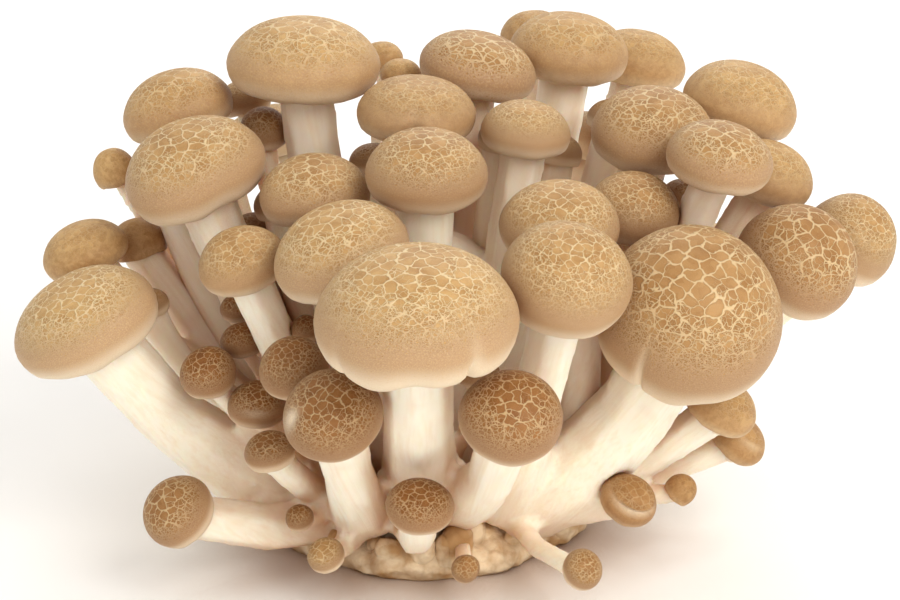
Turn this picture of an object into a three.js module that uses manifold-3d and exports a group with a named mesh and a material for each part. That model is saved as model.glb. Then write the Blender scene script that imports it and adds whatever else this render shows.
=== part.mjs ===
// Brown beech mushroom cluster: one clump of fruiting bodies that grew together on a cut foot.
// Millimetres, +Z up. The origin is the middle of the foot's flat cut face, and the front faces -Y.
//
// The clump is one foot of brown mycelium, one white body of stems grown together at their roots,
// and a brown cap on each stem. Every cap has a domed top, a rolled margin and gills underneath.

import * as THREE from "three";
import { mergeVertices } from "three/addons/utils/BufferGeometryUtils.js";
import Module from "manifold-3d";

const wasm = await Module();
wasm.setup();

// Driving dimensions
const FOOT_RADIUS = 26.5;
const FOOT_HEIGHT = 9;
const HUB_RADIUS = 19.5; // the white core that the stems grow from
const HUB_TOP = 43;
const HUB_FOLD = 0.9; // how far the folds between the hub's fused stems are drawn in
const ROOT_HEIGHT = 10;
const ROOT_SPREAD = 0.42; // how far out a root stands, as a share of its cap's distance from the middle
const ROOT_REACH = 18; // the furthest a root stands from the middle
const CLEARANCE = 0.35; // between separate bodies
const STEM_SHARE = 0.37; // a stem's width as a share of its cap's
const PLUMPNESS = 0.54; // a cap's height as a share of its width
const CAP_GAP = 0.4; // left between caps that lie side by side

// Each mushroom: `at` is the middle of its cap, `width` the cap's width, and `lean` how far in degrees
// the cap tips to the right and to the front. `tall` is its height as a share of its width, `stem` the
// stem's width, and `root` where it leaves the hub. The last three are given where they are unusual.
const MUSHROOMS = {
  front: [
    { at: [-0.4, -50, 48.6], width: 24.3, lean: [0, 8], tall: 0.53, stem: 9, root: [-0.5, -16, 11] },
    { at: [34.5, -31, 42], width: 24, lean: [7, 30], tall: 0.74, stem: 10.8, root: [17, -20.5, 8] },
    { at: [18, -40.5, 49.5], width: 16.5, lean: [10, 26], tall: 0.6, stem: 6.8, root: [11, -19.5, 8.5] },
    { at: [-10.6, -30.5, 49.6], width: 17.9, lean: [-15, 9], tall: 0.52, stem: 7 },
    { at: [-23.6, -25, 46.2], width: 11.5, lean: [-12, 18], tall: 0.56, stem: 6.2, root: [-12, -14, 10] },
    { at: [-11, -48, 34], width: 12.2, lean: [-8, 42], tall: 0.62, stem: 7, root: [-8.5, -21.5, 7] },
    { at: [11, -50, 34.8], width: 12.8, lean: [4, 30], tall: 0.6, stem: 7, root: [4.8, -21.5, 9] },
    { at: [-16.5, -36, 35.5], width: 9, lean: [-10, 24], tall: 0.64, stem: 4.4 },
    { at: [18, -24.5, 51], width: 15.7, lean: [1, 15], tall: 0.53, stem: 6.6 },
    { at: [28.2, -14.5, 50], width: 12.7, lean: [12, 16], tall: 0.58, stem: 6 },
    { at: [7, -30, 32.5], width: 6, lean: [4, 6], tall: 0.62 },
  ],
  crown: [
    { at: [0.4, -19, 56.8], width: 16.1, lean: [1, 10], tall: 0.52, stem: 7.6 },
    { at: [-14.6, -14.5, 52.4], width: 14.8, lean: [-3, 8], tall: 0.52, stem: 6.6 },
    { at: [-0.3, -4, 60.2], width: 16.8, lean: [3, 2], tall: 0.46, stem: 6.4 },
    { at: [-17, 8, 64.8], width: 21.6, lean: [2, 2], tall: 0.46, stem: 7.6 },
    { at: [7.8, 13, 62.6], width: 17, lean: [12, 2], tall: 0.46, stem: 6.6 },
    { at: [13, -5, 58.5], width: 12.5, lean: [6, 2], tall: 0.52, stem: 6.6 },
    { at: [21.2, 25, 62], width: 17.3, lean: [4, 2], tall: 0.52, stem: 7.4 },
    { at: [16.4, 38, 61.2], width: 10.2, lean: [-2, -4], tall: 0.58 },
    { at: [32, 33, 58.4], width: 14.5, lean: [11, -2], tall: 0.54, stem: 6.6 },
    { at: [-3.6, 17, 60], width: 6, lean: [2, -2], tall: 0.62 },
    { at: [-6.6, 25, 60.5], width: 6.4, lean: [-4, -8], tall: 0.62 },
    { at: [31.6, -1, 57.2], width: 17, lean: [3, 12], tall: 0.54, stem: 6.8 },
  ],
  left: [
    { at: [-45.6, -20, 36.4], width: 20.3, lean: [-24, 10], tall: 0.48, stem: 9.2, root: [-19, -17, 8] },
    { at: [-31.4, -9, 54.2], width: 19.4, lean: [-14, 12], tall: 0.53, stem: 8 },
    { at: [-35.4, 8, 58], width: 15.6, lean: [-15, 0], tall: 0.55, stem: 7 },
    { at: [-47.2, -5.5, 40.8], width: 12.2, lean: [-20, 3], tall: 0.52, stem: 6.2 },
    { at: [-41, 1.5, 40], width: 7.8, lean: [-14, -4], tall: 0.68, stem: 6.2 },
    { at: [-44.6, 8, 48.4], width: 6.1, lean: [-18, 0], tall: 0.86 },
    { at: [-26.6, 18, 56], width: 8, lean: [-10, -6], tall: 0.6 },
    { at: [-23.2, 10.5, 53.6], width: 7.2, lean: [-2, 6], tall: 0.78 },
  ],
  right: [
    { at: [39.4, -14, 57], width: 14.5, lean: [9, 9], tall: 0.5, stem: 5.8 },
    { at: [45, 9.5, 58], width: 16.7, lean: [15, 2], tall: 0.55, stem: 6.6 },
    { at: [48, 0, 51], width: 13, lean: [17, 3], tall: 0.58, stem: 5.6 },
    { at: [50.8, -15, 43], width: 16.4, lean: [24, 27], tall: 0.74, stem: 7.2 },
    { at: [59.6, -4, 42.3], width: 13.4, lean: [30, 14], tall: 0.78, stem: 6.6 },
    { at: [40.5, -20, 23.6], width: 10.4, lean: [26, 10], tall: 0.54, stem: 5.8, root: [19, -14, 8.5] },
    { at: [44, -13, 15.6], width: 8.6, lean: [38, 10], tall: 0.56, stem: 4.8, root: [20, -12, 7.5] },
    { at: [35.5, -20, 11], width: 4.4, lean: [42, 16], tall: 0.74, stem: 3, root: [20, -14, 6.5] },
    { at: [27.6, -28, 13.2], width: 7.8, lean: [24, 26], tall: 0.6, stem: 4.2, root: [15, -17, 6.5] },
  ],
  low: [
    { at: [-0.3, -44, 19.8], width: 8.6, lean: [0, 24], tall: 0.5, stem: 5, root: [-1.4, -25, 6.5] },
    { at: [-20, -34, 23], width: 6.6, lean: [-8, 12], tall: 0.56, stem: 4.4, root: [-12, -16, 9] },
    { at: [-28, -24, 29.5], width: 7.8, lean: [-10, 20], tall: 0.66, stem: 4, root: [-13, -12, 10] },
    { at: [-24.5, -19.5, 32.5], width: 6, lean: [-6, 8], tall: 0.64 },
    { at: [-25.5, -13.5, 35], width: 4.6, lean: [0, 6], tall: 0.7 },
    { at: [-22.5, -26.5, 27], width: 8, lean: [2, 10], tall: 0.6, stem: 4.2 },
    { at: [-15.6, -22.5, 35.5], width: 4, lean: [0, 8], tall: 0.72 },
    { at: [-32.6, -34, 14.4], width: 9.9, lean: [-36, 34], tall: 0.62, stem: 6.4, root: [-15, -21, 6] },
    { at: [20.6, -44, 10.8], width: 5.3, lean: [22, 38], tall: 0.6, stem: 3, root: [12, -19, 6.5] },
    { at: [5.6, -35, 6.3], width: 3.8, lean: [8, 40], tall: 0.66, stem: 2.4, root: [5, -20, 6] },
    { at: [-13, -34.5, 8.2], width: 5, lean: [-18, 26], tall: 0.6, stem: 3.4, root: [-9, -20, 5.5] },
    { at: [-16.6, -29.5, 11.2], width: 3.8, lean: [-10, 20], tall: 0.68, stem: 2.6, root: [-12, -17, 7] },
  ],
  back: [
    { at: [-24, 36, 45], width: 17, lean: [-14, -26], tall: 0.54, stem: 6.8 },
    { at: [0, 43, 44], width: 18, lean: [0, -30], tall: 0.55, stem: 7 },
    { at: [26, 43, 42], width: 16, lean: [14, -28], tall: 0.55, stem: 6.4 },
    { at: [45, 27, 29], width: 14, lean: [28, -18], tall: 0.57, stem: 5.8 },
    { at: [-37, 27, 28], width: 13.6, lean: [-30, -16], tall: 0.57, stem: 5.8 },
    { at: [10, 38, 20], width: 9, lean: [6, -36], tall: 0.62, stem: 4.6 },
  ],
};

const UP = new THREE.Vector3(0, 0, 1);
const radians = THREE.MathUtils.degToRad;

// A repeatable number from -1 to 1 for a mushroom's small irregularities.
function vary(seed, which) {
  const wave = Math.sin(seed * 12.9898 + which * 78.233) * 43758.5453;
  return 2 * (wave - Math.floor(wave)) - 1;
}

function readMushrooms() {
  const all = [];
  for (const [zone, rows] of Object.entries(MUSHROOMS)) {
    rows.forEach((row, i) => {
      const [right, front] = row.lean.map(radians);
      const half = row.width / 2;
      all.push({
        name: `cap_${zone}_${i + 1}`,
        seed: all.length + 1,
        centre: new THREE.Vector3(...row.at),
        axis: new THREE.Vector3(Math.tan(right), -Math.tan(front), 1).normalize(),
        half,
        rise: half * (row.tall ?? PLUMPNESS), // half the cap's height
        outline: [],
        stem: (row.stem ?? row.width * STEM_SHARE) / 2,
        root: row.root,
      });
    });
  }
  return all;
}

// How far a cap reaches along a direction, and the point that reaches furthest, from its middle.
function reachAlong(m, n) {
  const along = n.dot(m.axis);
  const side = n.clone().addScaledVector(m.axis, -along);
  const across = side.length();
  let best = { reach: -Infinity };
  for (const [r, z] of m.outline) {
    const reach = r * across + z * along;
    if (reach > best.reach) best = { reach, r, z };
  }
  const point = m.axis.clone().multiplyScalar(best.z);
  if (across > 1e-6) point.addScaledVector(side, best.r / across);
  return { reach: best.reach, point };
}

// The gap between two caps, along the direction in which they are furthest apart.
function partingOf(a, b) {
  const between = b.centre.clone().sub(a.centre);
  const n = between.clone().normalize();
  let best = { gap: -Infinity, n };
  for (let i = 0; i < 40; i++) {
    const fromA = reachAlong(a, n);
    const fromB = reachAlong(b, n.clone().negate());
    const gap = n.dot(between) - fromA.reach - fromB.reach;
    if (gap > best.gap) best = { gap, n: n.clone() };
    const step = between.clone().sub(fromA.point).add(fromB.point);
    n.addScaledVector(step, 0.5 / (between.length() * (1 + 0.2 * i))).normalize();
  }
  return best;
}

// Caps that press on one another push each other aside, the smaller one further. They slide mostly
// towards a place far out in front or away from it, which keeps their order as seen from there.
const FRONT = new THREE.Vector3(3.5, -310, 144);

function settleCaps(all) {
  for (const m of all) m.outline = capOutline(m, 0).map(([r, z]) => [1.04 * r, z]);
  for (let round = 0; round < 80; round++) {
    let moved = false;
    all.forEach((a, i) =>
      all.slice(i + 1).forEach((b) => {
        if (a.centre.distanceTo(b.centre) > a.half + b.half + CAP_GAP) return;
        const { gap, n } = partingOf(a, b);
        if (gap >= CAP_GAP) return;
        const deep = a.centre.clone().add(b.centre).multiplyScalar(0.5).sub(FRONT).normalize();
        const push = n.clone().addScaledVector(deep, 8 * n.dot(deep));
        push.multiplyScalar((0.6 * (CAP_GAP - gap)) / push.dot(n));
        const share = b.half / (a.half + b.half);
        a.centre.addScaledVector(push, -share);
        b.centre.addScaledVector(push, 1 - share);
        moved = true;
      }),
    );
    if (!moved) break;
  }
}

// Geometry helpers
function solidOf(geometry) {
  const bare = geometry.index ? geometry.toNonIndexed() : geometry.clone();
  bare.deleteAttribute("normal");
  bare.deleteAttribute("uv");
  const merged = mergeVertices(bare, 1e-4);
  return new wasm.Manifold(
    new wasm.Mesh({
      numProp: 3,
      vertProperties: merged.attributes.position.array,
      triVerts: new Uint32Array(merged.index.array),
    }),
  );
}

function geometryOf(solid) {
  const mesh = solid.getMesh();
  const geometry = new THREE.BufferGeometry();
  geometry.setAttribute("position", new THREE.BufferAttribute(mesh.vertProperties, 3));
  geometry.setIndex(new THREE.BufferAttribute(mesh.triVerts, 1));
  geometry.computeVertexNormals();
  return geometry;
}

// A profile of [radius, height] pairs turned about +Z, then each vertex moved by `shape`.
function turned(profile, sides, shape) {
  const points = profile.map(([r, z]) => new THREE.Vector2(r, z));
  const geometry = new THREE.LatheGeometry(points, sides);
  geometry.rotateX(Math.PI / 2);
  const position = geometry.attributes.position;
  const v = new THREE.Vector3();
  for (let i = 0; i < position.count; i++) {
    v.fromBufferAttribute(position, i);
    shape(v, i % profile.length, Math.floor(i / profile.length));
    position.setXYZ(i, v.x, v.y, v.z);
  }
  return geometry;
}

// Caps
function capSides(m) {
  if (m.half > 11) return 16;
  if (m.half > 8.2) return 14;
  if (m.half > 5.9) return 12;
  return m.half > 4.2 ? 10 : 8;
}

// The half outline of a cap as [radius, height, outward radius, outward height]: `grow` moves each
// point outwards, which makes the slightly larger cap that the stems are cut clear of.
function capOutline(m, grow) {
  const R = m.half;
  const H = m.rise;
  const socket = Math.min(m.stem + 0.5, 0.8 * R);
  const lip = Math.min(Math.max(0.76 * R, socket + 0.5), 0.92 * R);
  const outline = [
    [0, -0.5 * H, 0, -1],
    [socket, -0.5 * H, 0, -1],
    [0.5 * (socket + lip), -0.68 * H, -0.3, -1.1],
    [lip, -0.98 * H, -0.4, -1.1],
    [Math.max(0.93 * R, lip + 0.05 * R), -0.78 * H, 0.8, -0.9],
    [R, -0.3 * H, 1.1, -0.2],
    [0.93 * R, 0.14 * H, 1, 0.4],
    [0.72 * R, 0.6 * H, 0.8, 0.9],
    [0.4 * R, 0.9 * H, 0.4, 1.1],
    [0, H, 0, 1.1],
  ];
  if (!hasGills(m)) outline.splice(2, 1);
  return outline.map(([r, z, outR, outZ]) => [r + grow * outR, z + grow * outZ]);
}

function hasGills(m) {
  return m.half > 3.2;
}

function capGeometry(m, grow = 0) {
  const gillRings = hasGills(m) ? [1, 2] : [];
  const oval = 0.035 * vary(m.seed, 1);
  const turn = Math.PI * vary(m.seed, 2);
  const lobes = 0.015 * vary(m.seed, 3);
  const geometry = turned(capOutline(m, grow), capSides(m), (v, ring, side) => {
    if (gillRings.includes(ring) && side % 2) v.z += 0.1 * m.rise;
    const angle = Math.atan2(v.y, v.x);
    const swell = 1 + oval * Math.cos(2 * (angle - turn)) + lobes * Math.cos(3 * angle + turn);
    v.x *= swell;
    v.y *= swell;
  });
  return geometry.applyMatrix4(capMatrix(m));
}

function capMatrix(m) {
  const turn = new THREE.Quaternion().setFromUnitVectors(UP, m.axis);
  return new THREE.Matrix4().compose(m.centre, turn, new THREE.Vector3(1, 1, 1));
}

// Stems
function rootOf(m) {
  if (m.root) return new THREE.Vector3(...m.root);
  const out = new THREE.Vector3(m.centre.x, m.centre.y, 0).multiplyScalar(ROOT_SPREAD);
  out.clampLength(0, ROOT_REACH);
  return out.setZ(ROOT_HEIGHT);
}

// A stem starts inside the hub, leaves its root outwards, rises, and meets its cap square on. Points
// that lie in another cap's space are moved aside, and the line is smoothed after each move.
function stemRoute(m, all) {
  const start = rootOf(m);
  const end = m.centre.clone().addScaledVector(m.axis, -0.5 * m.rise - CLEARANCE - 0.02);
  const chord = end.clone().sub(start);
  const flat = new THREE.Vector3(chord.x, chord.y, 0);
  const outward = flat.clone().addScaledVector(UP, chord.z * 0.7).normalize();
  const bend = 0.36 * chord.length();
  const curve = new THREE.CubicBezierCurve3(
    start,
    start.clone().addScaledVector(outward, bend),
    end.clone().addScaledVector(m.axis, -bend),
    end,
  );
  const inside = new THREE.Vector3(0.7 * start.x, 0.7 * start.y, start.z + 1.5);
  const points = [inside, ...curve.getPoints(8)];
  const last = points.length - 1;
  for (let round = 0; round < 30; round++) {
    for (let i = 2; i < last; i++) {
      for (const other of all) {
        if (other !== m) moveClear(points[i], other, m.stem + CLEARANCE + 0.25);
      }
    }
    if (round % 3 === 0 && round < 24) {
      for (let i = 2; i < last; i++) {
        const middle = points[i - 1].clone().add(points[i + 1]).multiplyScalar(0.5);
        points[i].lerp(middle, 0.3);
      }
    }
  }
  return new THREE.CatmullRomCurve3(points, false, "centripetal");
}

// Moves a point that is nearer to a cap than `room` out sideways from the cap's middle.
function moveClear(point, cap, room) {
  const from = point.clone().sub(cap.centre);
  const along = from.dot(cap.axis);
  const side = from.clone().addScaledVector(cap.axis, -along);
  const radius = cap.half + room;
  const height = cap.rise + room;
  const depth = Math.sqrt((side.length() / radius) ** 2 + (along / height) ** 2);
  if (depth >= 1) return;
  const away = new THREE.Vector3(from.x, from.y, 0);
  if (away.length() < 0.01) away.set(0, 1, 0);
  point.addScaledVector(away.normalize(), (1 - depth) * radius * 0.5);
}

// A stem's width along it, as [place, share of the stem's width]: a swollen root that thins upwards.
const LARGE_STEM = [
  [0, 0.6],
  [0.14, 1.25],
  [0.32, 1.2],
  [0.64, 0.98],
  [1, 1.04],
];
const SMALL_STEM = [
  [0, 0.7],
  [0.22, 1.2],
  [0.52, 1.04],
  [1, 1],
];

// A cylinder whose rings are placed along the stem's line.
function stemGeometry(m, all) {
  const curve = stemRoute(m, all);
  const widths = m.half > 5 ? LARGE_STEM : SMALL_STEM;
  const sides = m.stem > 3.35 ? 8 : 6;
  const steps = 40;
  const frames = curve.computeFrenetFrames(steps, false);
  const geometry = new THREE.CylinderGeometry(1, 1, 1, sides, widths.length - 1);
  const position = geometry.attributes.position;
  for (let i = 0; i < position.count; i++) {
    const ring = Math.round((0.5 + position.getY(i)) * (widths.length - 1));
    const [t, share] = widths[ring];
    const width = m.stem * share * (1 + 0.04 * vary(m.seed, 10 + ring));
    const v = curve.getPointAt(t);
    v.addScaledVector(frames.binormals[Math.round(t * steps)], position.getX(i) * width);
    v.addScaledVector(frames.normals[Math.round(t * steps)], position.getZ(i) * width);
    position.setXYZ(i, v.x, v.y, v.z);
  }
  return geometry;
}

// Foot: a low round mass with a flat cut face below, a knobbly rim and a sloping shoulder.
function footGeometry(grow = 0) {
  const R = FOOT_RADIUS + grow;
  const top = FOOT_HEIGHT + grow;
  const profile = [
    [0, 0],
    [0.95 * R, 0],
    [R, 0.2 * top],
    [0.93 * R, 0.44 * top],
    [0.78 * R, 0.66 * top],
    [0.5 * R, 0.92 * top],
    [0, top],
  ];
  return turned(profile, 32, (v) => {
    const angle = Math.atan2(v.y, v.x);
    const knobs = 0.02 * Math.cos(5 * angle + 1) + 0.016 * Math.cos(11 * angle) - 0.05 * Math.cos(2 * angle);
    v.x *= 1 + knobs;
    v.y *= 1 + knobs;
  });
}

function hubGeometry() {
  const profile = [
    [0, 0.5 * FOOT_HEIGHT],
    [HUB_RADIUS, 0.5 * FOOT_HEIGHT],
    [HUB_RADIUS + 2, 0.8 * ROOT_HEIGHT],
    [HUB_RADIUS, 1.2 * ROOT_HEIGHT],
    [0.84 * HUB_RADIUS, 0.62 * HUB_TOP],
    [0.62 * HUB_RADIUS, 0.86 * HUB_TOP],
    [0, HUB_TOP],
  ];
  return turned(profile, 18, (v, ring, side) => {
    if (ring > 2 && side % 2) v.multiply(new THREE.Vector3(HUB_FOLD, HUB_FOLD, 1));
  });
}

// The white body: all the stems joined to the hub, cut clear of the foot and of every cap.
function stemsSolid(all) {
  const parts = [hubGeometry(), ...all.map((m) => stemGeometry(m, all))].map(solidOf);
  const white = wasm.Manifold.union(parts);
  const brown = [footGeometry(CLEARANCE), ...all.map((m) => capGeometry(m, CLEARANCE))].map(solidOf);
  const cut = white.subtract(wasm.Manifold.union(brown));
  return cut.decompose().sort((a, b) => b.volume() - a.volume())[0];
}

// Materials
function material(color, roughness) {
  return new THREE.MeshStandardMaterial({ color, roughness, metalness: 0 });
}
const stemFlesh = material("#f1e6d4", 0.6);
const capSkin = material("#c49b66", 0.5);
const footSkin = material("#b58c5f", 0.85);

// Assembly
const cluster = new THREE.Group();
cluster.name = "beech_mushroom_cluster";

function place(name, geometry, skin) {
  const mesh = new THREE.Mesh(geometry, skin);
  mesh.name = name;
  cluster.add(mesh);
}

const mushrooms = readMushrooms();
settleCaps(mushrooms);
place("foot", footGeometry(), footSkin);
place("stems", geometryOf(stemsSolid(mushrooms)), stemFlesh);
for (const m of mushrooms) place(m.name, capGeometry(m), capSkin);

export default cluster;
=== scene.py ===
import math
import random

import bpy
import bmesh
import numpy as np
from mathutils import Matrix, Vector, noise


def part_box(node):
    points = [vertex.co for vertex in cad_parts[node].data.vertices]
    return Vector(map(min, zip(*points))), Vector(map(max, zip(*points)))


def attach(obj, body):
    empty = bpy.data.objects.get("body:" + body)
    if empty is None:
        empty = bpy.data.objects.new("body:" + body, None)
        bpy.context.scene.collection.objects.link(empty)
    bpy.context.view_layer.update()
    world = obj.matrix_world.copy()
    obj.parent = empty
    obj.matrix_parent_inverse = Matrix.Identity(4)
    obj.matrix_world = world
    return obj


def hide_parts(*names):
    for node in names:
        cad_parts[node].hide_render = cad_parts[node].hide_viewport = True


# A bunch of brown beech mushrooms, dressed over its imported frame.
# Lengths in the dictionaries are millimetres unless a note says otherwise.

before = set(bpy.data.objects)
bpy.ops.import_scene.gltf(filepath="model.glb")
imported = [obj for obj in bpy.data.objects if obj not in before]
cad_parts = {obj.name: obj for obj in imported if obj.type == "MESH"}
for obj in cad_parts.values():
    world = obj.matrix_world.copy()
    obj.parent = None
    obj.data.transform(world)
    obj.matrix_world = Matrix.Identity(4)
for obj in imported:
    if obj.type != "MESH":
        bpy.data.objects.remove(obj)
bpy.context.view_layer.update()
mm = 0.001
meshSlack = 0.002 * mm  # points of a CAD mesh nearer than this are one point
midLevel = 0.5  # the grey of a cloud texture that moves nothing
print("frame loaded:", len(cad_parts), "nodes")


# Small helpers
def deselectAll():
    if bpy.context.object and bpy.context.object.mode != 'OBJECT':
        bpy.ops.object.mode_set(mode='OBJECT')
    bpy.ops.object.select_all(action='DESELECT')


def pick(piece):
    deselectAll()
    piece.select_set(True)
    bpy.context.view_layer.objects.active = piece


def copyPiece(source, name):
    piece = bpy.data.objects.new(name, source.data.copy())
    bpy.context.scene.collection.objects.link(piece)
    return piece


def useModifier(piece, kind, **settings):
    # adds one modifier and applies it at once
    pick(piece)
    modifier = piece.modifiers.new(kind.lower(), kind)
    for name, value in settings.items():
        setattr(modifier, name, value)
    bpy.ops.object.modifier_apply(modifier=modifier.name)


def addLumps(piece, name, lumps, group=''):
    # moves the skin in and out by clouds of each size and height, by weight where a group is named
    for i, (size, rise) in enumerate(lumps):
        clouds = bpy.data.textures.new(name + str(i), 'CLOUDS')
        clouds.noise_scale = size * mm
        useModifier(piece, 'DISPLACE', texture=clouds, strength=rise * mm, mid_level=midLevel,
                    vertex_group=group)


def mergedCopy(node, name):
    # a CAD node's own mesh is loose triangles, so the copy is merged first
    piece = copyPiece(node, name)
    piece.data.materials.clear()
    pick(piece)
    bpy.ops.object.mode_set(mode='EDIT')
    bpy.ops.mesh.select_all(action='SELECT')
    bpy.ops.mesh.remove_doubles(threshold=meshSlack)
    bpy.ops.object.mode_set(mode='OBJECT')
    return piece


def readPoints(mesh):
    points = np.zeros(len(mesh.vertices) * 3)
    mesh.vertices.foreach_get('co', points)
    return points.reshape(-1, 3)


def writePoints(mesh, points):
    mesh.vertices.foreach_set('co', np.ascontiguousarray(points, dtype=np.float32).ravel())
    mesh.update()


def readAttribute(mesh, name):
    values = np.zeros(len(mesh.vertices), np.float32)
    mesh.attributes[name].data.foreach_get('value', values)
    return values


def writeAttribute(mesh, name, kind, values):
    field = 'vector' if kind == 'FLOAT_VECTOR' else 'value'
    attribute = mesh.attributes.new(name, kind, 'POINT')
    attribute.data.foreach_set(field, np.ascontiguousarray(values, dtype=np.float32).ravel())


def linear(hexColour):
    # sRGB hex to the linear colour that the shaders take
    parts = [int(hexColour[i:i + 2], 16) / 255 for i in (1, 3, 5)]
    return [p / 12.92 if p <= 0.04045 else ((p + 0.055) / 1.055) ** 2.4 for p in parts] + [1]


def newMaterial(name):
    material = bpy.data.materials.new(name)
    material.use_nodes = True
    material.node_tree.nodes.clear()
    return material, material.node_tree


def addNode(tree, kind, inputs=None, output=0, **settings):
    # an input is a plain value or another node's output, and a setting is the node's own
    node = tree.nodes.new(kind)
    for name, value in settings.items():
        setattr(node, name, value)
    for name, value in (inputs or {}).items():
        if isinstance(value, bpy.types.NodeSocket):
            tree.links.new(value, node.inputs[name])
        else:
            node.inputs[name].default_value = value
    return node.outputs[output] if len(node.outputs) else node


# Camera
# The photograph looks down on the bunch by about 20 degrees from 340 mm away.
cameraSet = {
    'place': (3.5, -310.1, 143.9),
    'target': (3.5, 0, 31),
    'lens': 92.9,
    'sensor': 36,
    'near': 10,
    'far': 20000,
}


def makeCamera(s):
    place = Vector(s['place']) * mm
    deselectAll()
    bpy.ops.object.camera_add(location=place)
    camera = bpy.context.object
    camera.rotation_euler = (Vector(s['target']) * mm - place).to_track_quat('-Z', 'Y').to_euler()
    camera.data.lens = s['lens']
    camera.data.sensor_width = s['sensor']
    camera.data.clip_start = s['near'] * mm
    camera.data.clip_end = s['far'] * mm
    camera.data.dof.use_dof = False
    bpy.context.scene.camera = camera


makeCamera(cameraSet)
print("camera placed")


# Painted shade: the colour of what is hidden from the sky is multiplied towards brown, standing in
# for shade in crevices
paintedShadeSet = {
    'samples': 2,
    # how open to the sky a point is where it is brownest, and where the brown ends
    'hidden': {'From Min': 0.05, 'From Max': 0.5},
}


def addPaintedShade(tree, colour, paintedShade):
    # painted shade is its brown, how much of it there is at most, and from how many mm off
    shadeBrown, most, reach = paintedShade
    sky = addNode(tree, 'ShaderNodeAmbientOcclusion', {'Distance': reach * mm}, 'AO',
                  samples=paintedShadeSet['samples'])
    share = addNode(tree, 'ShaderNodeMapRange', {
        'Value': sky, 'To Min': most, 'To Max': 0, **paintedShadeSet['hidden']},
        interpolation_type='SMOOTHSTEP')
    return addNode(tree, 'ShaderNodeMix', {0: share, 6: colour, 7: linear(shadeBrown)}, 2,
                   data_type='RGBA', blend_type='MULTIPLY')


# Floor and light: a plain white sweep under soft boxes, with a painted shadow by the bunch's foot
studio = {
    'floor': '#fbfaf8',
    'floorSize': 40,  # metres
    'board': {'Roughness': 0.7, 'Specular IOR Level': 0.2},
    'paintedContactShadow': ('#926225', 1.0, 19),  # painted shadow: the tan shade that the bunch throws on the board by its foot
    'sky': '#fffefd',
    'skyPower': 0.8,
    'aim': (0, 0, 30),
    'lights': [
        # name, place in mm, width in mm, watts, colour
        ('keyBox', (300, -380, 420), 320, 1.9, '#fffbf5'),
        ('fillBox', (40, -540, 210), 420, 0.5, '#fffcf7'),
        ('rimBox', (60, 420, 380), 380, 0.9, '#fffdf8'),
    ],
}


def makeStudio(s):
    deselectAll()
    bpy.ops.mesh.primitive_plane_add(size=s['floorSize'], location=(0, 0, 0))
    floor = bpy.context.object
    floor.name = 'floor'
    material, tree = newMaterial('matt white board')
    colour = addNode(tree, 'ShaderNodeRGB')
    colour.default_value = linear(s['floor'])
    # the board's colour carries a painted shadow, darkened to tan where the bunch hides it from the
    # sky
    shader = addNode(tree, 'ShaderNodeBsdfPrincipled', {
        'Base Color': addPaintedShade(tree, colour, s['paintedContactShadow']), **s['board']})
    addNode(tree, 'ShaderNodeOutputMaterial', {'Surface': shader})
    floor.data.materials.append(material)
    world = bpy.data.worlds.new('studio')
    world.use_nodes = True
    back = world.node_tree.nodes['Background']
    back.inputs['Color'].default_value = linear(s['sky'])
    back.inputs['Strength'].default_value = s['skyPower']
    bpy.context.scene.world = world
    for name, place, width, watts, colour in s['lights']:
        deselectAll()
        bpy.ops.object.light_add(type='AREA', location=Vector(place) * mm)
        light = bpy.context.object
        light.name = name
        aim = Vector(s['aim']) * mm - light.location
        light.rotation_euler = aim.to_track_quat('-Z', 'Y').to_euler()
        light.data.size = width * mm
        light.data.energy = watts
        light.data.color = linear(colour)[:3]
    bpy.context.scene.view_settings.view_transform = 'Standard'


makeStudio(studio)
print("studio ready")


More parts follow.
